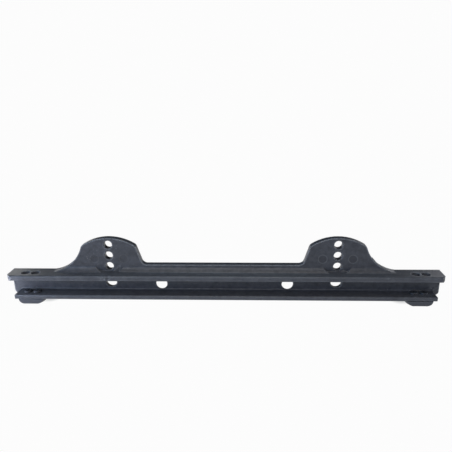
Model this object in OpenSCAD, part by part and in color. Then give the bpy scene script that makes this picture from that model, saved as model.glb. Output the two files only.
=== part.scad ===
// Seat slide rail: a moulded channel beam with two drilled ears, standing on two screwed-on feet.
// X runs along the rail, -Y is the open side of the channel, +Z is up, and Z = 0 is under the feet.

/* [Beam] */
// Length of the top flange, which is the whole rail
rail_length = 380; // [350:1:460]
// How far each end of the base flange stops short of the top flange
base_inset = 5; // [3:0.1:8]
// Depth of the channel, from its front edges to the back of the web
beam_depth = 17; // [15:0.5:24]
// Thickness of the base flange
base_thickness = 4.2; // [3:0.1:6]
// Thickness of the web between the flanges
web_thickness = 4; // [3:0.1:6]
// How far each end of the web stops short of the top flange
web_inset = 0.2; // [0.1:0.1:2]
// Radius of the web's lower corners
web_corner = 3.5; // [1:0.1:5]
// Clear height of the channel between the flanges
channel_height = 13.3; // [13:0.1:24]
// Thickness of the top flange
flange_thickness = 5; // [3:0.1:7]
// Radius of the flanges' long edges
edge_radius = 1.2; // [0.6:0.1:1.2]
// Radius of the fillets along the web
web_fillet = 1.5; // [0.8:0.1:2]
// Radius of the top flange's front corners, seen from above
flange_corner = 5.5; // [2:0.1:8]
// Radius of the base flange's front corners, seen from above
base_corner = 2; // [1.5:0.1:5]
// Radius of the upper edges at the top flange's ends
flange_end_upper = 1.2; // [0.5:0.1:2]
// Radius of the lower edges at the top flange's ends
flange_end_lower = 3; // [1:0.1:3.5]
// Radius of the edges at the base flange's ends
base_end_round = 2; // [0.5:0.1:2.2]

/* [Upper wall] */
// Thickness of the wall that stands on the top flange
wall_thickness = 6; // [5:0.1:8]
// How far the wall's face stands in front of the web's face
wall_proud = 1.5; // [0.5:0.1:2]
// Height of the wall between the ears, above the top flange
middle_rise = 6.2; // [5.6:0.1:9]
// Height of the slope at the foot of the wall
slope_height = 5.2; // [3:0.1:5.5]
// Depth of the slope at the foot of the wall
slope_depth = 3.7; // [2:0.1:5]
// Radius of the slope's hollow
slope_radius = 9; // [7:0.5:20]

/* [Ears] */
// Distance between the hole lines of the two ears
ear_spacing = 200; // [180:1:220]
// How far the ears' middle lies from the rail's middle
ear_offset = 0; // [-4:0.1:4]
// Radius of the ear's top, about the pivot hole
ear_radius = 42; // [40:0.5:46]
// Width of the ear between its upper corners
ear_width = 48; // [42:0.5:50]
// Radius of the ear's upper corners
ear_corner = 4.5; // [2:0.1:6]
// Lean of the ear's inner side, in degrees from upright
ear_lean = 18; // [10:1:25]
// Radius of the fillet from the ear's inner side to the wall's middle
inner_fillet = 5; // [2:0.1:8]
// Radius of the sweep from the ear's outer side down to the flange
sweep_radius = 32; // [28:0.5:36]
// Distance from the ear's hole line to the end of its sweep
sweep_reach = 55; // [50:0.5:60]

/* [Holes] */
// Diameter of the height holes in the ears
height_hole_d = 7.2; // [5:0.1:8]
// Number of height holes in each ear
height_hole_count = 3; // [2:1:3]
// Pitch of the height holes
height_hole_pitch = 10; // [9:0.1:10.5]
// Height of the lowest height hole above the top flange
height_hole_rise = 4.8; // [4.5:0.1:6]
// Radius of the spot-face around the height holes
spot_face_radius = 16.4; // [14:0.1:17]
// Diameter of the pivot hole in the web, under each ear
pivot_hole_d = 9.5; // [7:0.1:11]
// Height of the pivot holes above the base flange
pivot_rise = 7.3; // [6.5:0.1:8]
// Diameter of the web's mounting holes
web_hole_d = 10; // [6:0.1:11]
// Distance between the web's mounting holes
web_hole_spacing = 112; // [80:1:140]
// How far the middle of the web's mounting holes lies from the rail's middle
web_hole_offset = 1.3; // [-4:0.1:4]
// Height of the web's mounting holes above the base flange
web_hole_rise = 5.7; // [5.6:0.1:7]
// Diameter of the countersinks behind the web's mounting holes
web_sink_d = 14.2; // [12:0.1:16]
// Thickness of the lip that is left in front of a countersink
web_lip = 1.2; // [0.8:0.1:2]
// Chamfer at the mouths of the holes
hole_chamfer = 0.5; // [0.2:0.1:0.8]

/* [Feet and screws] */
// Distance of each foot's middle from the rail's end
foot_inset = 19.6; // [17:0.1:30]
// Distance of each foot's middle from the front edge
foot_middle = 7; // [6:0.1:10]
// Radius of each foot
foot_radius = 12.5; // [11:0.1:15]
// Height of each foot
foot_height = 4.4; // [4:0.1:12]
// Radius of the foot's lower edge
foot_round = 4.2; // [1:0.1:4.2]
// How far the foot's front flat stands back from the front edge
foot_setback = 0.2; // [0.1:0.1:1.5]
// Distance between the two screws of a foot
screw_spacing = 8.6; // [8.4:0.1:12]
// Distance of the screws from the front edge
screw_inset = 7.5; // [6.5:0.1:8]
// Diameter of the screw's shank
screw_d = 4; // [3:0.1:4.5]
// Diameter of the screw's head
screw_head_d = 7; // [6:0.1:7.2]
// Height of the screw's head
screw_head_height = 1.6; // [1.4:0.1:3]
// Length of the screw's shank
screw_length = 7; // [6.4:0.1:8]
// Clearance all round a screw's head in its access hole
access_clearance = 0.3; // [0.2:0.1:0.5]

/* [Mould marks] */
// Diameter of the ejector marks
pin_mark_d = 7.6; // [5:0.1:8]
// Depth of the ejector marks
pin_mark_depth = 0.3; // [0.1:0.05:0.5]
// Distance of an ear's ejector marks from its hole line
ear_pin_reach = 13; // [12:0.1:14]
// Drop of an ear's ejector marks below its middle height hole
ear_pin_drop = 3; // [1:0.1:4]
// Distance of the web's ejector marks from its ends
web_pin_inset = 4.5; // [4.2:0.1:8]
// Length of the gate mark on the right ear's sweep
gate_length = 4; // [2:0.1:5]
// Width of the gate mark
gate_width = 2.4; // [1.5:0.1:3]
// Height of the gate mark
gate_height = 0.5; // [0.2:0.1:0.8]
// Place of the gate mark up the sweep, in degrees
gate_angle = 48; // [25:1:60]

/* [Hidden] */
$fn = 96;

plastic = [0.20, 0.21, 0.24];
foot_plastic = [0.17, 0.18, 0.21];
screw_steel = [0.16, 0.16, 0.17];

// Heights of the beam's layers
base_z = foot_height;
channel_z = base_z + base_thickness;
flange_z = channel_z + channel_height;
top_z = flange_z + flange_thickness;
pivot_z = channel_z + pivot_rise;
web_hole_z = channel_z + web_hole_rise;

// Depths, from the front edges to the back of the wall or the feet, with the middle of the whole at Y = 0
wall_reach = beam_depth - web_thickness - wall_proud + wall_thickness;
front_y = -max(foot_middle + foot_radius, wall_reach) / 2;
web_back_y = front_y + beam_depth;
web_face_y = web_back_y - web_thickness;
wall_face_y = web_face_y - wall_proud;
wall_back_y = wall_face_y + wall_thickness;
screw_y = front_y + screw_inset;
foot_y = front_y + foot_middle;

// Lengths and places along the rail
base_length = rail_length - 2 * base_inset;
web_length = rail_length - 2 * web_inset;
foot_x = rail_length / 2 - foot_inset;
ear_xs = [ear_offset - ear_spacing / 2, ear_offset + ear_spacing / 2];
height_hole_zs = [for (i = [0 : height_hole_count - 1]) top_z + height_hole_rise + i * height_hole_pitch];
spot_z = top_z + height_hole_rise + height_hole_pitch;
pilot_clearance = 0.05;
screw_clearance = 0.3;
// How deep pieces of one moulding reach into each other, and how far a cut runs past a face
seat = 1;
cut = 1;
// How far sweeps, slopes and rounded ends run past the face they meet, to end in a crisp line
run_out = 0.25;

// The ear's outline, measured from its hole line and from the top of the flange
lean_up = [sin(ear_lean), cos(ear_lean)];
lean_in = [cos(ear_lean), -sin(ear_lean)];
pivot_point = [0, pivot_z - top_z];
inner_top = pivot_point + [-ear_width / 2, sqrt(pow(ear_radius, 2) - pow(ear_width / 2, 2))];
sweep_centre = [sweep_reach, sweep_radius - run_out];

// The middle of the inner corner's arc: inside the ear's top arc and beside its leaning side
inner_start = inner_top + ear_corner * lean_in - pivot_point;
inner_along = inner_start * lean_up;
inner_reach = pow(ear_radius - ear_corner, 2) - inner_start * inner_start;
inner_slide = sqrt(pow(inner_along, 2) + inner_reach) - inner_along;
inner_corner = pivot_point + inner_start + inner_slide * lean_up;

// The middle of the outer corner's arc: inside the ear's top arc and outside the sweep
outer_span = sweep_centre - pivot_point;
outer_gap = norm(outer_span);
outer_near = pow(ear_radius - ear_corner, 2);
outer_far = pow(sweep_radius + ear_corner, 2);
outer_along = (outer_near - outer_far + pow(outer_gap, 2)) / (2 * outer_gap);
outer_side = sqrt(outer_near - pow(outer_along, 2));
outer_axis = outer_span / outer_gap;
outer_corner = pivot_point + outer_along * outer_axis + outer_side * [-outer_axis.y, outer_axis.x];

// A point on the ear's leaning inner side at a height above the flange
function lean_point(z) = inner_top + (z - inner_top.y) / lean_up.y * lean_up;

// Turns a drawing of depth and height into a bar along X
module along_x(length) {
    rotate([90, 0, 90])
        linear_extrude(length, center = true) children();
}

// Turns a drawing of length and height into a slab from one depth to another
module along_y(from_y, to_y) {
    translate([0, to_y, 0])
        rotate([90, 0, 0])
            linear_extrude(to_y - from_y) children();
}

// A rod along Y between two depths
module rod_y(x, z, diameter, from_y, to_y) {
    translate([x, from_y, z])
        rotate([-90, 0, 0])
            cylinder(h = to_y - from_y, d = diameter);
}

// The cone that breaks the edge of a hole at a face; side is 1 where the hole runs on towards +Y
module mouth_y(x, z, diameter, face_y, side) {
    translate([x, face_y, z])
        rotate([-90 * side, 0, 0])
            translate([0, 0, -hole_chamfer])
                cylinder(h = 2 * hole_chamfer, d1 = diameter + 4 * hole_chamfer, d2 = diameter);
}

// A through hole with both mouths chamfered
module hole_y(x, z, diameter, face_y, back_y) {
    rod_y(x, z, diameter, face_y - cut, back_y + cut);
    mouth_y(x, z, diameter, face_y, 1);
    mouth_y(x, z, diameter, back_y, -1);
}

// A through hole that is countersunk from the back, which leaves a thin lip at its face
module lipped_hole_y(x, z, diameter, face_y, back_y) {
    sink = back_y - face_y - web_lip;
    rod_y(x, z, diameter, face_y - cut, back_y + cut);
    translate([x, back_y, z])
        rotate([90, 0, 0])
            cylinder(h = sink, d1 = web_sink_d, d2 = diameter);
}

// The hollow fillet in the corner at the origin, filling towards +x and +y
module fillet_2d(radius) {
    difference() {
        translate([-seat / 2, -seat / 2]) square(radius + seat / 2);
        translate([radius, radius]) circle(radius);
    }
}

// A bar's section from its front edge at x = 0, with the long front edges rounded
module rounded_bar_2d(depth, height) {
    translate([edge_radius, 0]) square([depth - edge_radius, height]);
    translate([0, edge_radius]) square([depth, height - 2 * edge_radius]);
    for (z = [edge_radius, height - edge_radius])
        translate([edge_radius, z]) circle(edge_radius);
}

// A plan with its two front corners rounded
module front_corners_2d(length, depth, radius) {
    translate([-length / 2, radius]) square([length, depth - radius]);
    translate([radius - length / 2, 0]) square([length - 2 * radius, depth]);
    for (side = [-1, 1])
        translate([side * (length / 2 - radius), radius]) circle(radius);
}

// A flange's front view between two heights, with its ends rounded above and below
module rounded_ends_2d(length, low, high, upper, lower) {
    translate([-length / 2, low + lower])
        square([length, high - low - upper - lower]);
    translate([lower - length / 2, low])
        square([length - 2 * lower, high - low - upper]);
    translate([upper - length / 2, low + lower])
        square([length - 2 * upper, high - low - lower]);
    for (side = [-1, 1]) {
        translate([side * (length / 2 - lower), low + lower]) circle(lower);
        translate([side * (length / 2 - upper), high - upper]) circle(upper);
    }
}

// A flange along the rail, from the front edges back
module flange(length, depth, z, thickness, corner, upper, lower) {
    intersection() {
        along_x(length)
            translate([front_y, z]) rounded_bar_2d(depth, thickness);
        translate([0, front_y, z - cut])
            linear_extrude(thickness + 2 * cut) front_corners_2d(length, depth + cut, corner);
        along_y(front_y - cut, front_y + depth + cut)
            rounded_ends_2d(length, z - run_out, z + thickness + run_out, upper, lower);
    }
}

// The web reaches down past the ends of the base flange, where its lower corners are rounded
module web_2d() {
    height = flange_z + flange_thickness / 2 - base_z;
    translate([-web_length / 2, base_z + web_corner])
        square([web_length, height - web_corner]);
    translate([web_corner - web_length / 2, base_z])
        square([web_length - 2 * web_corner, height]);
    for (side = [-1, 1])
        translate([side * (web_length / 2 - web_corner), base_z + web_corner]) circle(web_corner);
}

module web() {
    along_y(web_face_y, web_back_y) web_2d();
    along_x(base_length - 2 * base_corner)
        translate([web_face_y, channel_z]) mirror([1, 0]) fillet_2d(web_fillet);
    along_x(web_length - 2 * flange_end_lower)
        translate([web_face_y, flange_z]) rotate(180) fillet_2d(web_fillet);
}

// The wall's section, with the hollow slope at its foot
module wall_section_2d() {
    slope_top = [wall_face_y, top_z + slope_height];
    slope_foot = [wall_face_y - slope_depth, top_z - run_out];
    chord = slope_foot - slope_top;
    reach = sqrt(pow(slope_radius, 2) - pow(norm(chord) / 2, 2));
    outward = [chord.y, -chord.x] / norm(chord);
    translate([wall_face_y, top_z - seat])
        square([wall_thickness, ear_radius + seat]);
    difference() {
        polygon([
            slope_top,
            slope_foot,
            slope_foot - [0, seat / 2],
            [wall_face_y + seat, top_z - seat],
            [wall_face_y + seat, slope_top.y]
        ]);
        translate((slope_top + slope_foot) / 2 + reach * outward) circle(slope_radius);
    }
}

// The outline of the ear whose outer side faces +X
module ear_2d() {
    inner_foot = lean_point(-seat);
    far = 2 * ear_radius;
    inner_ray = (inner_corner - pivot_point) / norm(inner_corner - pivot_point);
    outer_ray = (outer_corner - pivot_point) / norm(outer_corner - pivot_point);
    intersection() {
        translate(pivot_point) circle(ear_radius);
        polygon([
            inner_corner,
            pivot_point + far * inner_ray,
            pivot_point + far * outer_ray,
            outer_corner
        ]);
    }
    for (corner = [inner_corner, outer_corner])
        translate(corner) circle(ear_corner);
    difference() {
        polygon([
            inner_corner,
            inner_corner - ear_corner * lean_in,
            inner_foot,
            [sweep_reach, -seat],
            sweep_centre,
            outer_corner
        ]);
        translate(sweep_centre) circle(sweep_radius);
    }
    inner_fillet_2d();
}

// The fillet where the ear's inner side meets the top of the wall's middle
module inner_fillet_2d() {
    corner = lean_point(middle_rise);
    tangent = inner_fillet / tan((90 + ear_lean) / 2);
    difference() {
        polygon([
            corner + seat * lean_in,
            corner + tangent * lean_up,
            corner + [-tangent, inner_fillet],
            corner - [tangent, 0],
            corner - [tangent, seat]
        ]);
        translate(corner + [-tangent, inner_fillet]) circle(inner_fillet);
    }
}

module wall_outline_2d() {
    translate([ear_xs[0], top_z]) mirror([1, 0]) ear_2d();
    translate([ear_xs[1], top_z]) ear_2d();
    translate([ear_xs[0], top_z - seat]) square([ear_spacing, middle_rise + seat]);
}

// The round faces that let a washer sit flat on an ear; they cut into the slope, not into the flange
module spot_faces() {
    for (x = ear_xs)
        rod_y(x, spot_z, 2 * spot_face_radius, front_y - cut, wall_face_y);
}

module upper_wall() {
    difference() {
        intersection() {
            along_x(rail_length) wall_section_2d();
            along_y(front_y, wall_back_y + cut) wall_outline_2d();
        }
        spot_faces();
    }
}

module rail_holes() {
    for (x = ear_xs) {
        for (z = height_hole_zs)
            hole_y(x, z, height_hole_d, wall_face_y, wall_back_y);
        hole_y(x, pivot_z, pivot_hole_d, web_face_y, web_back_y);
    }
    for (side = [-1, 1])
        lipped_hole_y(web_hole_offset + side * web_hole_spacing / 2, web_hole_z, web_hole_d,
            web_face_y, web_back_y);
}

module pin_marks() {
    for (x = ear_xs, side = [-1, 1])
        rod_y(x + side * ear_pin_reach, spot_z - ear_pin_drop, pin_mark_d,
            wall_face_y - cut, wall_face_y + pin_mark_depth);
    for (side = [-1, 1])
        rod_y(side * (web_length / 2 - web_pin_inset), pivot_z, pin_mark_d,
            web_face_y - cut, web_face_y + pin_mark_depth);
}

// The stub that is left where the moulding was cut from its runner
module gate_mark() {
    translate([ear_xs[1] + sweep_centre.x, wall_face_y + wall_thickness / 2, top_z + sweep_centre.y])
        rotate([0, gate_angle, 0])
            translate([-gate_length / 2, -gate_width / 2, -sweep_radius - seat])
                cube([gate_length, gate_width, gate_height + seat]);
}

// Places its children at the two screws of the foot on one side
module at_screws(side) {
    for (end = [-1, 1])
        translate([side * foot_x + end * screw_spacing / 2, screw_y, channel_z]) children();
}

module screw_holes() {
    for (side = [-1, 1])
        at_screws(side) {
            translate([0, 0, -base_thickness - cut])
                cylinder(h = base_thickness + 2 * cut, d = screw_d + 2 * screw_clearance);
            translate([0, 0, channel_height - cut])
                cylinder(h = flange_thickness + 2 * cut, d = screw_head_d + 2 * access_clearance);
        }
}

module rail() {
    color(plastic)
        difference() {
            union() {
                flange(base_length, beam_depth, base_z, base_thickness, base_corner,
                    base_end_round, base_end_round);
                web();
                flange(rail_length, wall_reach, flange_z, flange_thickness, flange_corner,
                    flange_end_upper, flange_end_lower);
                upper_wall();
                gate_mark();
            }
            rail_holes();
            pin_marks();
            screw_holes();
        }
}

// Half the section of a foot, with its lower edge rounded
module foot_section_2d() {
    square([foot_radius - foot_round, foot_height]);
    translate([0, foot_round]) square([foot_radius, foot_height - foot_round]);
    translate([foot_radius - foot_round, foot_round])
        intersection() {
            circle(foot_round);
            translate([0, -foot_round]) square(foot_round);
        }
}

// A round foot with a flat at the front
module foot(side) {
    color(foot_plastic)
        difference() {
            translate([side * foot_x, foot_y, 0])
                intersection() {
                    rotate_extrude() foot_section_2d();
                    translate([-foot_radius - cut, foot_setback - foot_middle, -cut])
                        cube([2 * (foot_radius + cut), 2 * foot_radius, foot_height + 2 * cut]);
                }
            at_screws(side)
                translate([0, 0, -screw_length - pilot_clearance])
                    cylinder(h = screw_length, d = screw_d + 2 * pilot_clearance);
        }
}

module left_foot() {
    foot(-1);
}

module right_foot() {
    foot(1);
}

// A pan-head screw standing on its seat, with a cross recess
module screw() {
    head_round = screw_head_height / 2;
    recess_width = screw_head_d / 8;
    recess_span = screw_head_d / 2;
    difference() {
        union() {
            rotate_extrude() {
                square([screw_head_d / 2, screw_head_height - head_round]);
                square([screw_head_d / 2 - head_round, screw_head_height]);
                translate([screw_head_d / 2 - head_round, screw_head_height - head_round])
                    intersection() {
                        circle(head_round);
                        square(head_round);
                    }
            }
            translate([0, 0, -screw_length])
                cylinder(h = screw_length + head_round, d = screw_d);
        }
        for (turn = [0, 90])
            rotate(turn)
                translate([-recess_span / 2, -recess_width / 2, head_round])
                    cube([recess_span, recess_width, screw_head_height]);
    }
}

module foot_screws() {
    color(screw_steel)
        for (side = [-1, 1])
            at_screws(side) screw();
}

rail();
left_foot();
right_foot();
foot_screws();
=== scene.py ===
# %% [markdown]
# # A seat slide rail, dressed for its picture
#
# The real rail is one black plastic moulding: a channel beam with two drilled ears standing on its
# top flange. Two round feet are screwed under its ends. The solids come from the CAD frame at their
# true size, so nothing here moves or resizes them. This lesson rounds their edges, gives each
# surface its finish, and lights the part like the photograph.

# %% Load the frame
import math

import bpy
from mathutils import Euler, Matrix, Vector


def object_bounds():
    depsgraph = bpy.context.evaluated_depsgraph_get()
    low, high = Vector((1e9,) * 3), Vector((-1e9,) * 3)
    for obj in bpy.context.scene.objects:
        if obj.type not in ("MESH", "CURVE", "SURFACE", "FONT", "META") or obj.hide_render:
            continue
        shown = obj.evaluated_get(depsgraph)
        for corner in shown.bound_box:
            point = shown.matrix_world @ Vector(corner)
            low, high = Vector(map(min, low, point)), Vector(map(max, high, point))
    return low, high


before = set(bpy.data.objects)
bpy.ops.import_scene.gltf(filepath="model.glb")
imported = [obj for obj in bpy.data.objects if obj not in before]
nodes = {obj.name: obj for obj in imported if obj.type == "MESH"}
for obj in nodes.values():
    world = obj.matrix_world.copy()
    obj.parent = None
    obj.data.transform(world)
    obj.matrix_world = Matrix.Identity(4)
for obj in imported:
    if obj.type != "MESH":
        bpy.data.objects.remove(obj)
CAD_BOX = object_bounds()
MM = 0.001
print("nodes in the frame:", sorted(nodes))

# %% [markdown]
# ## The camera
#
# The photograph looks at the rail's open side from a little above. Instead of guessing, the place
# and the lens were fitted to points of the part, such as the holes and the flange's corners, and
# then to its outline. A lens in millimetres on a 36 mm sensor is all Blender needs.

# %% Place the camera
CAMERA_PLACE = Vector((21.5, -387.6, 194.7)) * MM
CAMERA_TURN = (72.12, 0.78, 2.365)
LENS_MM = 38.25
SENSOR_MM = 36.0

camera_data = bpy.data.cameras.new("photo_camera")
camera_data.lens = LENS_MM
camera_data.sensor_width = SENSOR_MM
camera_data.clip_start = 0.01
camera = bpy.data.objects.new("photo_camera", camera_data)
camera.location = CAMERA_PLACE
camera.rotation_euler = Euler([math.radians(angle) for angle in CAMERA_TURN])
bpy.context.scene.collection.objects.link(camera)
bpy.context.scene.camera = camera
print("camera looks from", [round(c, 3) for c in camera.location])

# %% [markdown]
# ## Small helpers for node trees
#
# Every finish below is a node tree. A few short functions keep those trees readable: they add a node
# and set its inputs by name, join two sockets, open a node group and place it, do a sum, and stretch
# a range of values. A shared effect is then built once and placed with its own values.

# %% Helpers for node trees
def add_node(tree, kind, settings=None, **inputs):
    """Adds a node, sets its own options, then sets inputs by name (spaces written as _)."""
    node = tree.nodes.new(kind)
    for option, value in (settings or {}).items():
        setattr(node, option, value)
    for name, value in inputs.items():
        node.inputs[name.replace("_", " ")].default_value = value
    return node


def join(tree, source, target):
    tree.links.new(source, target)


def new_group(name, takes, gives):
    """A shader node group. takes lists (name, starting value) and gives lists (name, kind)."""
    group = bpy.data.node_groups.new(name, "ShaderNodeTree")
    for label, start in takes:
        socket = group.interface.new_socket(label, in_out="INPUT", socket_type="NodeSocketFloat")
        socket.default_value = start
    for label, kind in gives:
        group.interface.new_socket(label, in_out="OUTPUT", socket_type=kind)
    return group, group.nodes.new("NodeGroupInput"), group.nodes.new("NodeGroupOutput")


def place_group(tree, group, **values):
    node = tree.nodes.new("ShaderNodeGroup")
    node.node_tree = group
    for name, value in values.items():
        node.inputs[name.replace("_", " ")].default_value = value
    return node


def math_node(tree, operation, first, second=None, clamp=False):
    """A Math node; first and second are sockets or plain numbers."""
    node = tree.nodes.new("ShaderNodeMath")
    node.operation = operation
    node.use_clamp = clamp
    for index, value in enumerate((first, second)):
        if isinstance(value, (int, float)):
            node.inputs[index].default_value = value
        elif value is not None:
            join(tree, value, node.inputs[index])
    return node.outputs[0]


def stretch(tree, value, low, high, to_low=0.0, to_high=1.0):
    """Maps low..high to to_low..to_high and holds the ends."""
    node = add_node(tree, "ShaderNodeMapRange", {"clamp": True})
    node.inputs["From Min"].default_value = low
    node.inputs["From Max"].default_value = high
    node.inputs["To Min"].default_value = to_low
    node.inputs["To Max"].default_value = to_high
    join(tree, value, node.inputs["Value"])
    return node.outputs["Result"]


print("helpers ready")

# %% [markdown]
# ## Rounded edges
#
# A mould leaves no sharp edge: light runs as a thin bright line round the ears because their rims
# are rounded by a few tenths of a millimetre. The CAD solids stop at crisp edges there, and bevelling
# by hand would change their meshes. Modifiers leave the meshes alone: the flat facets are merged, a
# small geometry tree picks the sharp outer edges but passes over those beside very small faces,
# and a bevel rounds what it picked.

# %% Weigh the edges
RIM_ROUND = 0.4 * MM
SHARP_ANGLE = math.radians(24)
THIN_FACE_AREA = 1.2 * MM * MM
THIN_FACE_SHARE = 0.01


def edge_weigher():
    """A geometry tree: smooth shading, and a bevel weight on sharp convex edges away from tiny faces."""
    tree = bpy.data.node_groups.new("weigh_edges", "GeometryNodeTree")
    tree.interface.new_socket("Geometry", in_out="INPUT", socket_type="NodeSocketGeometry")
    tree.interface.new_socket("Geometry", in_out="OUTPUT", socket_type="NodeSocketGeometry")
    start = tree.nodes.new("NodeGroupInput")
    end = tree.nodes.new("NodeGroupOutput")
    bare = add_node(tree, "GeometryNodeRemoveAttribute", Name="custom_normal")
    smooth = add_node(tree, "GeometryNodeSetShadeSmooth")
    angle = tree.nodes.new("GeometryNodeInputMeshEdgeAngle")
    convex = add_node(tree, "FunctionNodeCompare", {"operation": "GREATER_THAN"})
    convex.inputs[1].default_value = SHARP_ANGLE
    area = tree.nodes.new("GeometryNodeInputMeshFaceArea")
    thin = add_node(tree, "FunctionNodeCompare", {"operation": "LESS_THAN"})
    thin.inputs[1].default_value = THIN_FACE_AREA
    on_face = add_node(tree, "GeometryNodeFieldOnDomain", {"domain": "FACE", "data_type": "FLOAT"})
    on_edge = add_node(tree, "GeometryNodeFieldOnDomain", {"domain": "EDGE", "data_type": "FLOAT"})
    weight = add_node(tree, "ShaderNodeMapRange", {"clamp": True})
    weight.inputs["From Max"].default_value = THIN_FACE_SHARE
    weight.inputs["To Min"].default_value = 1.0
    weight.inputs["To Max"].default_value = 0.0
    store = add_node(tree, "GeometryNodeStoreNamedAttribute", {"domain": "EDGE", "data_type": "FLOAT"})
    store.inputs["Name"].default_value = "bevel_weight_edge"
    join(tree, start.outputs[0], bare.inputs["Geometry"])
    join(tree, bare.outputs["Geometry"], smooth.inputs["Geometry"])
    join(tree, angle.outputs["Signed Angle"], convex.inputs[0])
    join(tree, area.outputs["Area"], thin.inputs[0])
    join(tree, thin.outputs[0], on_face.inputs[0])
    join(tree, on_face.outputs[0], on_edge.inputs[0])
    join(tree, on_edge.outputs[0], weight.inputs["Value"])
    join(tree, smooth.outputs["Geometry"], store.inputs["Geometry"])
    join(tree, convex.outputs[0], store.inputs["Selection"])
    join(tree, weight.outputs["Result"], store.inputs["Value"])
    join(tree, store.outputs["Geometry"], end.inputs[0])
    return tree


WEIGH_EDGES = edge_weigher()
print("geometry tree:", WEIGH_EDGES.name)

# %% Round the edges
WELD_REACH = 0.002 * MM
FLAT_ANGLE = math.radians(0.5)
RIM_SEGMENTS = 3
FACE_WEIGHT = 80


def round_edges(piece, width):
    weld = piece.modifiers.new("weld", "WELD")
    weld.merge_threshold = WELD_REACH
    flat = piece.modifiers.new("merge_flats", "DECIMATE")
    flat.decimate_type = "DISSOLVE"
    flat.angle_limit = FLAT_ANGLE
    weigh = piece.modifiers.new("weigh_edges", "NODES")
    weigh.node_group = WEIGH_EDGES
    bevel = piece.modifiers.new("rounded_rims", "BEVEL")
    bevel.width = width
    bevel.segments = RIM_SEGMENTS
    bevel.limit_method = "WEIGHT"
    bevel.use_clamp_overlap = False
    shade = piece.modifiers.new("even_shading", "WEIGHTED_NORMAL")
    shade.keep_sharp = False
    shade.weight = FACE_WEIGHT


def triangles(piece):
    ready = piece.evaluated_get(bpy.context.evaluated_depsgraph_get())
    mesh = ready.to_mesh()
    count = sum(len(face.vertices) - 2 for face in mesh.polygons)
    ready.to_mesh_clear()
    return count


round_edges(nodes["rail"], RIM_ROUND)
for name in ("left_foot", "right_foot"):
    round_edges(nodes[name], RIM_ROUND / 2)
bpy.context.view_layer.update()
print("triangles with rounded rims:", {name: triangles(node) for name, node in nodes.items()})

# %% [markdown]
# ## Flow marks and grain
#
# Melted plastic cools in faint streaks along the way it flowed, and the mould's skin prints a fine
# grain on it. A picture of plastic could be pasted on, but noise in the part's own coordinates has
# no seams and keeps its true scale from every side. Two noises give the tone. A fine one with some
# of the mottle gives the height for a bump, and a broad one gives the haze in its shine.

# %% The moulded skin group
STREAK_SCALE = (14.0, 130.0, 130.0)
MOTTLE_HEIGHT = 0.6
HAZE_RANGE = (0.35, 0.7)


def moulded_skin_group():
    group, takes, gives = new_group(
        "moulded_skin",
        [("Streaks", 0.5), ("Mottle", 0.5), ("Grain Scale", 2200.0)],
        [("Tone", "NodeSocketFloat"), ("Height", "NodeSocketFloat"), ("Haze", "NodeSocketFloat")],
    )
    place = group.nodes.new("ShaderNodeTexCoord")
    along = add_node(group, "ShaderNodeMapping")
    along.inputs["Scale"].default_value = STREAK_SCALE
    streak = add_node(group, "ShaderNodeTexNoise", Scale=1.0, Detail=4.0, Roughness=0.6)
    mottle = add_node(group, "ShaderNodeTexNoise", Scale=260.0, Detail=5.0, Roughness=0.62)
    grain = add_node(group, "ShaderNodeTexNoise", Detail=2.0, Roughness=0.5)
    haze = add_node(group, "ShaderNodeTexNoise", Scale=38.0, Detail=3.0, Roughness=0.55)
    join(group, place.outputs["Object"], along.inputs["Vector"])
    join(group, along.outputs["Vector"], streak.inputs["Vector"])
    for noise in (mottle, grain, haze):
        join(group, place.outputs["Object"], noise.inputs["Vector"])
    join(group, takes.outputs["Grain Scale"], grain.inputs["Scale"])
    streak_tone = math_node(group, "SUBTRACT", streak.outputs["Fac"], 0.5)
    streak_tone = math_node(group, "MULTIPLY", streak_tone, takes.outputs["Streaks"])
    mottle_tone = math_node(group, "SUBTRACT", mottle.outputs["Fac"], 0.5)
    mottle_tone = math_node(group, "MULTIPLY", mottle_tone, takes.outputs["Mottle"])
    tone = math_node(group, "ADD", streak_tone, mottle_tone)
    tone = math_node(group, "ADD", tone, 0.5, clamp=True)
    join(group, tone, gives.inputs["Tone"])
    rough_height = math_node(group, "MULTIPLY", mottle.outputs["Fac"], MOTTLE_HEIGHT)
    join(group, math_node(group, "ADD", grain.outputs["Fac"], rough_height), gives.inputs["Height"])
    join(group, stretch(group, haze.outputs["Fac"], *HAZE_RANGE), gives.inputs["Haze"])
    return group


MOULDED_SKIN = moulded_skin_group()
print("group:", MOULDED_SKIN.name)

# %% [markdown]
# ## Rubbed edges and painted rim highlights
#
# Handling polishes the corners of black plastic to a paler grey, and the rounded rims catch a thin
# line of light. This mask paints both as one paler grey, so it is partly wear and partly a painted
# highlight. It can be painted, or found: the Bevel node returns the normal that a rounder edge would
# have, and where it turns away from the true normal there is an edge. Inner corners turn it too, but
# nothing rubs or shines there, so an ambient occlusion node takes them out again. Noise breaks the
# mask up.

# %% The rubbed edge and painted rim highlight group
RUB_AND_HIGHLIGHT_WIDTH = 2.2 * MM
OPEN_AIR_REACH = 4 * MM
EDGE_RANGE = (0.99, 0.88)
OPEN_RANGE = (0.88, 0.98)
PATCH_RANGE = (0.36, 0.66)


# Paler edges: partly rub wear, partly a painted highlight on the rounded rims.
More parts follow.
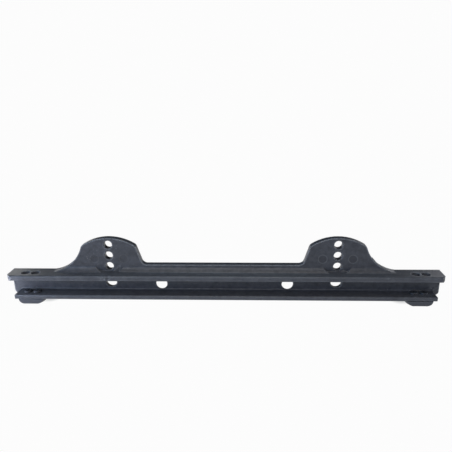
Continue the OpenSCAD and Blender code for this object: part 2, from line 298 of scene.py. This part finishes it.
def edge_rub_and_highlight_group():
    group, takes, gives = new_group(
        "edge_rub_and_highlight",
        [("Width", RUB_AND_HIGHLIGHT_WIDTH), ("Patchiness", 0.5)],
        [("Mask", "NodeSocketFloat")],
    )
    round_normal = add_node(group, "ShaderNodeBevel", {"samples": 8})
    surface = group.nodes.new("ShaderNodeNewGeometry")
    facing = add_node(group, "ShaderNodeVectorMath", {"operation": "DOT_PRODUCT"})
    open_air = add_node(group, "ShaderNodeAmbientOcclusion", {"samples": 8}, Distance=OPEN_AIR_REACH)
    place = group.nodes.new("ShaderNodeTexCoord")
    patches = add_node(group, "ShaderNodeTexNoise", Scale=190.0, Detail=4.0, Roughness=0.65)
    join(group, takes.outputs["Width"], round_normal.inputs["Radius"])
    join(group, round_normal.outputs["Normal"], facing.inputs[0])
    join(group, surface.outputs["Normal"], facing.inputs[1])
    join(group, place.outputs["Object"], patches.inputs["Vector"])
    edge = stretch(group, facing.outputs["Value"], *EDGE_RANGE)
    outer = stretch(group, open_air.outputs["AO"], *OPEN_RANGE)
    patch = stretch(group, patches.outputs["Fac"], *PATCH_RANGE)
    patch = math_node(group, "MULTIPLY", patch, takes.outputs["Patchiness"])
    solid = math_node(group, "SUBTRACT", 1.0, takes.outputs["Patchiness"])
    patch = math_node(group, "ADD", patch, solid)
    pale_edge = math_node(group, "MULTIPLY", edge, outer)
    join(group, math_node(group, "MULTIPLY", pale_edge, patch, clamp=True), gives.inputs["Mask"])
    return group


EDGE_RUB_AND_HIGHLIGHT = edge_rub_and_highlight_group()
print("group:", EDGE_RUB_AND_HIGHLIGHT.name)

# %% [markdown]
# ## Dust and scuffs
#
# A part that has lain about carries pale flecks of dust and short dull scuffs. Modelling each one
# would be wasted work: a Voronoi pattern keeps only its cell centres as flecks, and a stretched
# noise with a high threshold leaves a few thin scuffs.

# %% The dust group
SCUFF_SCALE = (45.0, 600.0, 420.0)
SCUFF_TURN = (0.0, 0.35, 0.0)
FLECK_RANGE = (0.16, 0.06)
FLECK_PLACES = (0.5, 0.66)
SCUFF_RANGE = (0.62, 0.74)


def dust_group():
    group, takes, gives = new_group(
        "dust_and_scuffs",
        [("Flecks", 0.5), ("Scuffs", 0.5)],
        [("Mask", "NodeSocketFloat")],
    )
    place = group.nodes.new("ShaderNodeTexCoord")
    cells = add_node(group, "ShaderNodeTexVoronoi", {"feature": "F1"}, Scale=330.0, Randomness=1.0)
    thin_out = add_node(group, "ShaderNodeTexNoise", Scale=60.0, Detail=3.0, Roughness=0.7)
    along = add_node(group, "ShaderNodeMapping")
    along.inputs["Scale"].default_value = SCUFF_SCALE
    along.inputs["Rotation"].default_value = SCUFF_TURN
    scuff = add_node(group, "ShaderNodeTexNoise", Scale=1.0, Detail=5.0, Roughness=0.7)
    for node in (cells, thin_out, along):
        join(group, place.outputs["Object"], node.inputs["Vector"])
    join(group, along.outputs["Vector"], scuff.inputs["Vector"])
    fleck = stretch(group, cells.outputs["Distance"], *FLECK_RANGE)
    sparse = stretch(group, thin_out.outputs["Fac"], *FLECK_PLACES)
    fleck = math_node(group, "MULTIPLY", fleck, sparse)
    fleck = math_node(group, "MULTIPLY", fleck, takes.outputs["Flecks"])
    scratch = stretch(group, scuff.outputs["Fac"], *SCUFF_RANGE)
    scratch = math_node(group, "MULTIPLY", scratch, takes.outputs["Scuffs"])
    join(group, math_node(group, "ADD", fleck, scratch, clamp=True), gives.inputs["Mask"])
    return group


DUST = dust_group()
print("group:", DUST.name)

# %% [markdown]
# ## Marks at known places
#
# Some marks belong to one spot on the part. Unwrapping the part to paint them would be long work.
# Its own coordinates are in metres, so plain distances in a node tree find each place. One helper
# hands those coordinates out to the groups below.

# %% Find places
FRONT_Y = CAD_BOX[0][1]


def places(group):
    """The part's own coordinates, as one vector and as three numbers."""
    place = group.nodes.new("ShaderNodeTexCoord")
    axes = group.nodes.new("ShaderNodeSeparateXYZ")
    join(group, place.outputs["Object"], axes.inputs[0])
    return place.outputs["Object"], axes.outputs["X"], axes.outputs["Y"], axes.outputs["Z"]


print("the front edges lie at y =", round(FRONT_Y / MM, 2), "mm")

# %% [markdown]
# ### Ejector marks
#
# The pins that push a part out of its mould press round marks into it, two on each ear here. The
# solids have the shallow recesses. This group paints a darker disc on each recess floor and a fine
# painted highlight round its lip, both clearer on the right ear than on the left.

# %% The ejector marks group
EAR_X = 100 * MM
PIN_REACH = 13 * MM
PIN_HEIGHT = 38.7 * MM
PIN_RADIUS = 3.8 * MM
DISC_CORE = 0.85
LIP_HIGHLIGHT_FADE = (0.6 * MM, 0.1 * MM)
EAR_FACE_FADE = (5 * MM, 4 * MM)
BLEND_X = 50 * MM
FAINT_SHARE = 0.4


def ejector_group():
    group, _, gives = new_group(
        "ejector_marks", [], [("Disc", "NodeSocketFloat"), ("Lip Highlight", "NodeSocketFloat")])
    _, x, y, z = places(group)
    from_ear = math_node(group, "SUBTRACT", math_node(group, "ABSOLUTE", x), EAR_X)
    along = math_node(group, "SUBTRACT", math_node(group, "ABSOLUTE", from_ear), PIN_REACH)
    up = math_node(group, "SUBTRACT", z, PIN_HEIGHT)
    flat = group.nodes.new("ShaderNodeCombineXYZ")
    away = add_node(group, "ShaderNodeVectorMath", {"operation": "LENGTH"})
    join(group, along, flat.inputs["X"])
    join(group, up, flat.inputs["Z"])
    join(group, flat.outputs["Vector"], away.inputs[0])
    front = stretch(group, y, *EAR_FACE_FADE)
    clear = stretch(group, x, -BLEND_X, BLEND_X, FAINT_SHARE, 1.0)
    front = math_node(group, "MULTIPLY", front, clear)
    disc = stretch(group, away.outputs["Value"], PIN_RADIUS, DISC_CORE * PIN_RADIUS)
    off_lip = math_node(group, "SUBTRACT", away.outputs["Value"], PIN_RADIUS)
    # The pale ring on the lip is a painted highlight.
    lip_highlight = stretch(group, math_node(group, "ABSOLUTE", off_lip), *LIP_HIGHLIGHT_FADE)
    join(group, math_node(group, "MULTIPLY", disc, front), gives.inputs["Disc"])
    join(group, math_node(group, "MULTIPLY", lip_highlight, front), gives.inputs["Lip Highlight"])
    return group


EJECTOR_MARKS = ejector_group()
print("group:", EJECTOR_MARKS.name)

# %% [markdown]
# ### Painted front light and a knock
#
# The front faces are painted paler, as the light from the front falls on them, a little more towards
# the left and broken into blotches. The flange under the left ear has pale chips and a dark nick, as
# from a knock. The knock could be carved, but it looks only skin deep, so masks near the front plane
# are enough.

# %% The painted front light and knock group
FRONT_FADE = (FRONT_Y + 0.9 * MM, FRONT_Y + 0.2 * MM)
FRONT_LIGHT_ENDS_X = (60 * MM, -50 * MM)
RIGHT_FRONT_LIGHT = 0.8
BLOTCH_RANGE = (0.3, 0.62)
KNOCK_PLACE = (-101 * MM, FRONT_Y, 25 * MM)
KNOCK_FADE = (6 * MM, 2.5 * MM)
CHIP_RANGE = (0.5, 0.6)
NICK_X = -100.1 * MM
NICK_FADE = (1.4 * MM, 0.6 * MM)


def front_light_and_knock_group():
    group, _, gives = new_group(
        "front_light_and_knock", [], [(label, "NodeSocketFloat") for label in ("Front Light", "Chip", "Notch")])
    where, x, y, _ = places(group)
    blotch = add_node(group, "ShaderNodeTexNoise", Scale=70.0, Detail=5.0, Roughness=0.7)
    chips = add_node(group, "ShaderNodeTexNoise", Scale=620.0, Detail=2.0)
    from_knock = add_node(group, "ShaderNodeVectorMath", {"operation": "DISTANCE"})
    from_knock.inputs[1].default_value = KNOCK_PLACE
    for socket in (blotch.inputs["Vector"], chips.inputs["Vector"], from_knock.inputs[0]):
        join(group, where, socket)
    front = stretch(group, y, *FRONT_FADE)
    leftward = stretch(group, x, *FRONT_LIGHT_ENDS_X, RIGHT_FRONT_LIGHT, 1.0)
    # Painted light on the front faces, stronger towards the left.
    front_light = math_node(group, "MULTIPLY", front, leftward)
    front_light = math_node(group, "MULTIPLY", front_light, stretch(group, blotch.outputs["Fac"], *BLOTCH_RANGE))
    near = stretch(group, from_knock.outputs["Value"], *KNOCK_FADE)
    chip = math_node(group, "MULTIPLY", near, stretch(group, chips.outputs["Fac"], *CHIP_RANGE))
    across = math_node(group, "ABSOLUTE", math_node(group, "SUBTRACT", x, NICK_X))
    nick = math_node(group, "MULTIPLY", near, stretch(group, across, *NICK_FADE))
    for label, value in (("Front Light", front_light), ("Chip", chip), ("Notch", nick)):
        join(group, value, gives.inputs[label])
    return group


FRONT_LIGHT_AND_KNOCK = front_light_and_knock_group()
print("group:", FRONT_LIGHT_AND_KNOCK.name)

# %% [markdown]
# ### Settled dust
#
# Fine dust lies on faces that look up and are seldom wiped: the flanges, but not the tops of the
# wall and the ears. The surface normal tells which faces look up, a height keeps the high ones out,
# and noise makes the dust uneven.

# %% The settled dust group
DUST_TOP = 27.5 * MM
LEVEL_RANGE = (0.6, 0.95)
CLOUD_RANGE = (0.3, 0.7)
THIN_DUST = 0.4


def settled_group():
    group, takes, gives = new_group("settled_dust", [("Top", DUST_TOP)], [("Mask", "NodeSocketFloat")])
    where, _, _, z = places(group)
    surface = group.nodes.new("ShaderNodeNewGeometry")
    tilt = group.nodes.new("ShaderNodeSeparateXYZ")
    cloud = add_node(group, "ShaderNodeTexNoise", Scale=120.0, Detail=5.0, Roughness=0.7)
    join(group, surface.outputs["Normal"], tilt.inputs[0])
    join(group, where, cloud.inputs["Vector"])
    below = math_node(group, "LESS_THAN", z, takes.outputs["Top"])
    level = math_node(group, "MULTIPLY", stretch(group, tilt.outputs["Z"], *LEVEL_RANGE), below)
    dust = stretch(group, cloud.outputs["Fac"], *CLOUD_RANGE, THIN_DUST, 1.0)
    join(group, math_node(group, "MULTIPLY", level, dust), gives.inputs["Mask"])
    return group


SETTLED_DUST = settled_group()
print("group:", SETTLED_DUST.name)

# %% [markdown]
# ## Black rail plastic
#
# The rail looks like black plastic with a cold cast, satin rather than shiny. Its colour is set by
# two close greys mixed along the flow marks. The marks come over them, some of them painted light,
# and then the paler tones where edges are rubbed and carry a painted rim highlight, and where dust
# lies. Roughness follows the haze in the skin, and the grain feeds one small bump.

# %% Mix two colours
def mix_colour(tree, factor, first, second):
    """A colour Mix node; first and second are sockets or plain colours."""
    node = add_node(tree, "ShaderNodeMix", {"data_type": "RGBA"})
    join(tree, factor, node.inputs["Factor"])
    for socket, value in ((node.inputs[6], first), (node.inputs[7], second)):
        if isinstance(value, tuple):
            socket.default_value = (*value, 1.0)
        else:
            join(tree, value, socket)
    return node.outputs[2]


print("colours mix by", mix_colour.__name__)

# %% The plastic finish
RUB_AND_HIGHLIGHT_PATCHINESS = 0.45
GRAIN_DEPTH = 0.05 * MM


def plastic_finish(name, dark, light, rubbed_and_highlit, dusty, roughness, specular, look, marks=()):
    """A moulded plastic. look holds the shares of each effect, and marks adds layers of
    (group, output, share, colour) over the plain plastic."""
    material = bpy.data.materials.new(name)
    material.use_nodes = True
    tree = material.node_tree
    shader = tree.nodes["Principled BSDF"]
    skin = place_group(tree, MOULDED_SKIN, Streaks=look["streaks"], Mottle=look["mottle"])
    edge = place_group(tree, EDGE_RUB_AND_HIGHLIGHT, Patchiness=RUB_AND_HIGHLIGHT_PATCHINESS)
    dust = place_group(tree, DUST, Flecks=look["flecks"], Scuffs=look["scuffs"])
    colour = mix_colour(tree, skin.outputs["Tone"], dark, light)
    for group, output, share, tone in marks:
        layer = place_group(tree, group)
        mask = math_node(tree, "MULTIPLY", layer.outputs[output], share)
        colour = mix_colour(tree, mask, colour, tone)
    # Paler edges, partly rub wear and partly a painted rim highlight.
    rub_and_highlight = math_node(tree, "MULTIPLY", edge.outputs["Mask"], look["rub_and_highlight"])
    colour = mix_colour(tree, rub_and_highlight, colour, rubbed_and_highlit)
    colour = mix_colour(tree, dust.outputs["Mask"], colour, dusty)
    join(tree, colour, shader.inputs["Base Color"])
    low, high = roughness
    join(tree, stretch(tree, skin.outputs["Haze"], 0.0, 1.0, low, high), shader.inputs["Roughness"])
    shader.inputs["Specular IOR Level"].default_value = specular
    bump = add_node(tree, "ShaderNodeBump", Strength=look["grain"], Distance=GRAIN_DEPTH)
    join(tree, skin.outputs["Height"], bump.inputs["Height"])
    join(tree, bump.outputs["Normal"], shader.inputs["Normal"])
    return material


def dress(piece, material):
    piece.material_slots[0].material = material


print("finish ready:", plastic_finish.__name__)

# %% Dress the rail
RAIL_LOOK = dict(streaks=0.9, mottle=2.0, rub_and_highlight=1.0, flecks=0.8, scuffs=0.25, grain=0.35)
RAIL_MARKS = [
    (SETTLED_DUST, "Mask", 0.14, (0.15, 0.15, 0.155)),
    (EJECTOR_MARKS, "Disc", 0.6, (0.03, 0.032, 0.042)),
    # A painted highlight on the lips of the ejector marks.
    (EJECTOR_MARKS, "Lip Highlight", 0.55, (0.16, 0.165, 0.18)),
    # Painted light on the front faces.
    (FRONT_LIGHT_AND_KNOCK, "Front Light", 0.22, (0.16, 0.165, 0.175)),
    (FRONT_LIGHT_AND_KNOCK, "Chip", 0.55, (0.22, 0.23, 0.25)),
    (FRONT_LIGHT_AND_KNOCK, "Notch", 0.8, (0.03, 0.032, 0.04)),
]
rail_plastic = plastic_finish(
    "rail_plastic",
    dark=(0.030, 0.033, 0.043),
    light=(0.076, 0.080, 0.094),
    rubbed_and_highlit=(0.36, 0.365, 0.38),
    dusty=(0.24, 0.24, 0.245),
    roughness=(0.30, 0.42),
    specular=0.5,
    look=RAIL_LOOK,
    marks=RAIL_MARKS,
)
dress(nodes["rail"], rail_plastic)
print("dressed the rail in", rail_plastic.name)

# %% [markdown]
# ## Feet and screws
#
# The feet look like the same black plastic from a smoother mould, so they take the same groups with
# less grain and no marks at known places. The screws hardly show, and are taken to be blackened
# steel: a metal, darkened all over and a little paler on its edges, partly where a driver has
# rubbed them and partly as a painted highlight.

# %% The feet
FOOT_LOOK = dict(streaks=0.4, mottle=0.5, rub_and_highlight=0.4, flecks=0.3, scuffs=0.15, grain=0.2)
foot_plastic = plastic_finish(
    "foot_plastic",
    dark=(0.048, 0.051, 0.062),
    light=(0.074, 0.078, 0.093),
    rubbed_and_highlit=(0.14, 0.145, 0.16),
    dusty=(0.16, 0.16, 0.165),
    roughness=(0.28, 0.40),
    specular=0.5,
    look=FOOT_LOOK,
)
for name in ("left_foot", "right_foot"):
    dress(nodes[name], foot_plastic)
print("dressed the feet in", foot_plastic.name)

# %% The screws
SCREW_DARK = (0.06, 0.062, 0.072)
SCREW_LIGHT = (0.10, 0.103, 0.115)
SCREW_RUB_AND_HIGHLIGHT = (0.2, 0.2, 0.21)
SCREW_RUB_AND_HIGHLIGHT_SHARE = 0.3
SCREW_RUB_AND_HIGHLIGHT_WIDTH = 0.25 * MM
SCREW_ROUGHNESS = (0.6, 0.75)


def blackened_steel():
    material = bpy.data.materials.new("screw_steel")
    material.use_nodes = True
    tree = material.node_tree
    shader = tree.nodes["Principled BSDF"]
    skin = place_group(tree, MOULDED_SKIN, Streaks=0.3, Mottle=0.8)
    edge = place_group(tree, EDGE_RUB_AND_HIGHLIGHT, Width=SCREW_RUB_AND_HIGHLIGHT_WIDTH, Patchiness=0.4)
    black = mix_colour(tree, skin.outputs["Tone"], SCREW_DARK, SCREW_LIGHT)
    # Paler screw edges: partly driver wear, partly a painted highlight.
    pale_edge = math_node(tree, "MULTIPLY", edge.outputs["Mask"], SCREW_RUB_AND_HIGHLIGHT_SHARE)
    join(tree, mix_colour(tree, pale_edge, black, SCREW_RUB_AND_HIGHLIGHT), shader.inputs["Base Color"])
    shader.inputs["Metallic"].default_value = 1.0
    dull = stretch(tree, skin.outputs["Haze"], 0.0, 1.0, *SCREW_ROUGHNESS)
    join(tree, dull, shader.inputs["Roughness"])
    return material


screw_steel = blackened_steel()
dress(nodes["foot_screws"], screw_steel)
print("dressed the screws in", screw_steel.name)

# %% [markdown]
# ## Floor and background
#
# The photograph's ground is blown out to white, and only beside the feet's inner sides a breath of
# shadow is left. More light would bleach the ground, and the part with it. Instead the floor is its own
# white to the camera and to reflections, except near the feet, where a share of plain diffuse
# paper holds the shadow. The shaded faces mirror the floor, and they darken to the right, so the
# floor that reflections see is duller there. The world is the same white to the camera and nearly
# dark otherwise.

# %% Floor
FLOOR_SIZE = 12.0
FLOOR_DROP = 0.05 * MM
PAPER_COLOUR = (0.80, 0.83, 0.90, 1.0)
PAPER_WHITE = (0.975, 0.975, 0.975, 1.0)
FOOT_SIDE = (157 * MM, 4 * MM, 0.0)
SHADOW_SHARE = 0.45
SHADOW_REACH = (4 * MM, 10.5 * MM)
BRIGHT_SIDE_X = -150 * MM
DULL_SIDE_X = 150 * MM
DULL_SIDE_SHARE = 0.65

bpy.ops.mesh.primitive_plane_add(size=FLOOR_SIZE, location=(0.0, 0.0, -FLOOR_DROP))
floor = bpy.context.object
floor.name = "pale_floor"
print("floor:", floor.name, FLOOR_SIZE, "m wide")

# %% Floor finish
def floor_finish():
    material = bpy.data.materials.new("pale_floor")
    material.use_nodes = True
    tree = material.node_tree
    tree.nodes.remove(tree.nodes["Principled BSDF"])
    paper = add_node(tree, "ShaderNodeBsdfDiffuse", Color=PAPER_COLOUR)
    glow = add_node(tree, "ShaderNodeEmission", Color=PAPER_WHITE, Strength=1.0)
    mixed = tree.nodes.new("ShaderNodeMixShader")
    place = tree.nodes.new("ShaderNodeTexCoord")
    axes = tree.nodes.new("ShaderNodeSeparateXYZ")
    either_side = tree.nodes.new("ShaderNodeCombineXYZ")
    from_foot = add_node(tree, "ShaderNodeVectorMath", {"operation": "DISTANCE"})
    from_foot.inputs[1].default_value = FOOT_SIDE
    join(tree, place.outputs["Object"], axes.inputs[0])
    join(tree, math_node(tree, "ABSOLUTE", axes.outputs["X"]), either_side.inputs["X"])
    join(tree, axes.outputs["Y"], either_side.inputs["Y"])
    join(tree, either_side.outputs["Vector"], from_foot.inputs[0])
    white = stretch(tree, from_foot.outputs["Value"], *SHADOW_REACH, 1.0 - SHADOW_SHARE, 1.0)
    path = tree.nodes.new("ShaderNodeLightPath")
    seen = math_node(tree, "MAXIMUM", path.outputs["Is Camera Ray"], path.outputs["Is Glossy Ray"])
    join(tree, math_node(tree, "MULTIPLY", seen, white), mixed.inputs["Fac"])
    mirrored = stretch(tree, axes.outputs["X"], BRIGHT_SIDE_X, DULL_SIDE_X, 1.0, DULL_SIDE_SHARE)
    glow_share = math_node(tree, "MAXIMUM", path.outputs["Is Camera Ray"], mirrored)
    join(tree, glow_share, glow.inputs["Strength"])
    join(tree, paper.outputs["BSDF"], mixed.inputs[1])
    join(tree, glow.outputs["Emission"], mixed.inputs[2])
    join(tree, mixed.outputs["Shader"], tree.nodes["Material Output"].inputs["Surface"])
    return material


floor.data.materials.append(floor_finish())
print("floor keeps a shadow share of", SHADOW_SHARE)

# %% World
DIM_SKY = (0.018, 0.019, 0.021, 1.0)

world = bpy.data.worlds.new("white_room")
bpy.context.scene.world = world
world.use_nodes = True
sky = world.node_tree
sky.nodes.clear()
dim = add_node(sky, "ShaderNodeBackground", Color=DIM_SKY, Strength=1.0)
white = add_node(sky, "ShaderNodeBackground", Color=PAPER_WHITE, Strength=1.0)
blend = sky.nodes.new("ShaderNodeMixShader")
ground = sky.nodes.new("ShaderNodeOutputWorld")
light_path = sky.nodes.new("ShaderNodeLightPath")
join(sky, light_path.outputs["Is Camera Ray"], blend.inputs["Fac"])
join(sky, dim.outputs[0], blend.inputs[1])
join(sky, white.outputs[0], blend.inputs[2])
join(sky, blend.outputs[0], ground.inputs["Surface"])
print("world:", world.name)

# %% [markdown]
# ## Light
#
# The black faces hint at where the light was. The ears and the slope are lit by broad windows in
# front, one of them high. The shaded web keeps a blue cast from a low one at the left, and the
# flange's top shines only at its two ends, where it mirrors narrow bright strips behind the part.
# The left end catches a low white card as well. Guessing such a set by eye takes long. Each lamp
# of a first set was tried alone, the powers and colours were solved so that their sum comes near the
# tones of the photograph, and the set was then changed.

# %% Soft boxes
def soft_box(name, place, aim, size, power, colour):
    data = bpy.data.lights.new(name, "AREA")
    data.shape = "RECTANGLE"
    data.size, data.size_y = size
    data.energy = power
    data.color = colour
    lamp = bpy.data.objects.new(name, data)
    lamp.location = place
    lamp.rotation_euler = (Vector(aim) - Vector(place)).to_track_quat("-Z", "Y").to_euler()
    bpy.context.scene.collection.objects.link(lamp)
    return lamp


print("lamps are made by", soft_box.__name__)

# %% Place the lamps
MIDDLE = (0.0, 0.0, 0.03)
LEFT_END = (-0.19, 0.0, 0.014)
lamps = [
    soft_box("front_window", (-0.1, -1.1, 0.75), MIDDLE, (1.0, 0.4), 3.9, (1.0, 0.97, 0.93)),
    soft_box("front_skylight", (0.0, -0.55, 1.2), MIDDLE, (1.0, 0.4), 2.1, (1.0, 0.90, 0.72)),
    soft_box("ceiling", (0.0, 0.1, 1.4), MIDDLE, (0.6, 0.4), 4.2, (0.72, 0.88, 1.0)),
    soft_box("left_window", (-0.8, -0.55, 0.27), MIDDLE, (1.0, 0.52), 5.0, (0.45, 0.66, 1.0)),
    soft_box("left_card", (-0.235, -0.03, 0.014), LEFT_END, (0.07, 0.024), 0.06, (0.80, 0.84, 1.0)),
    soft_box("right_window", (1.0, -0.15, 0.2), MIDDLE, (0.4, 0.3), 2.6, (0.86, 0.90, 1.0)),
    soft_box("back_left_strip", (-0.68, 0.80, 0.36), MIDDLE, (0.12, 0.5), 0.58, (1.0, 1.0, 0.98)),
    soft_box("back_right_strip", (0.60, 0.85, 0.36), MIDDLE, (0.12, 0.5), 0.30, (0.95, 0.95, 1.0)),
]
print("lamps:", {lamp.name: lamp.data.energy for lamp in lamps})

# %% [markdown]
# ## The view
#
# The view is plain, so that a colour shows about as it is written.

# %% View
bpy.context.scene.view_settings.view_transform = "Standard"
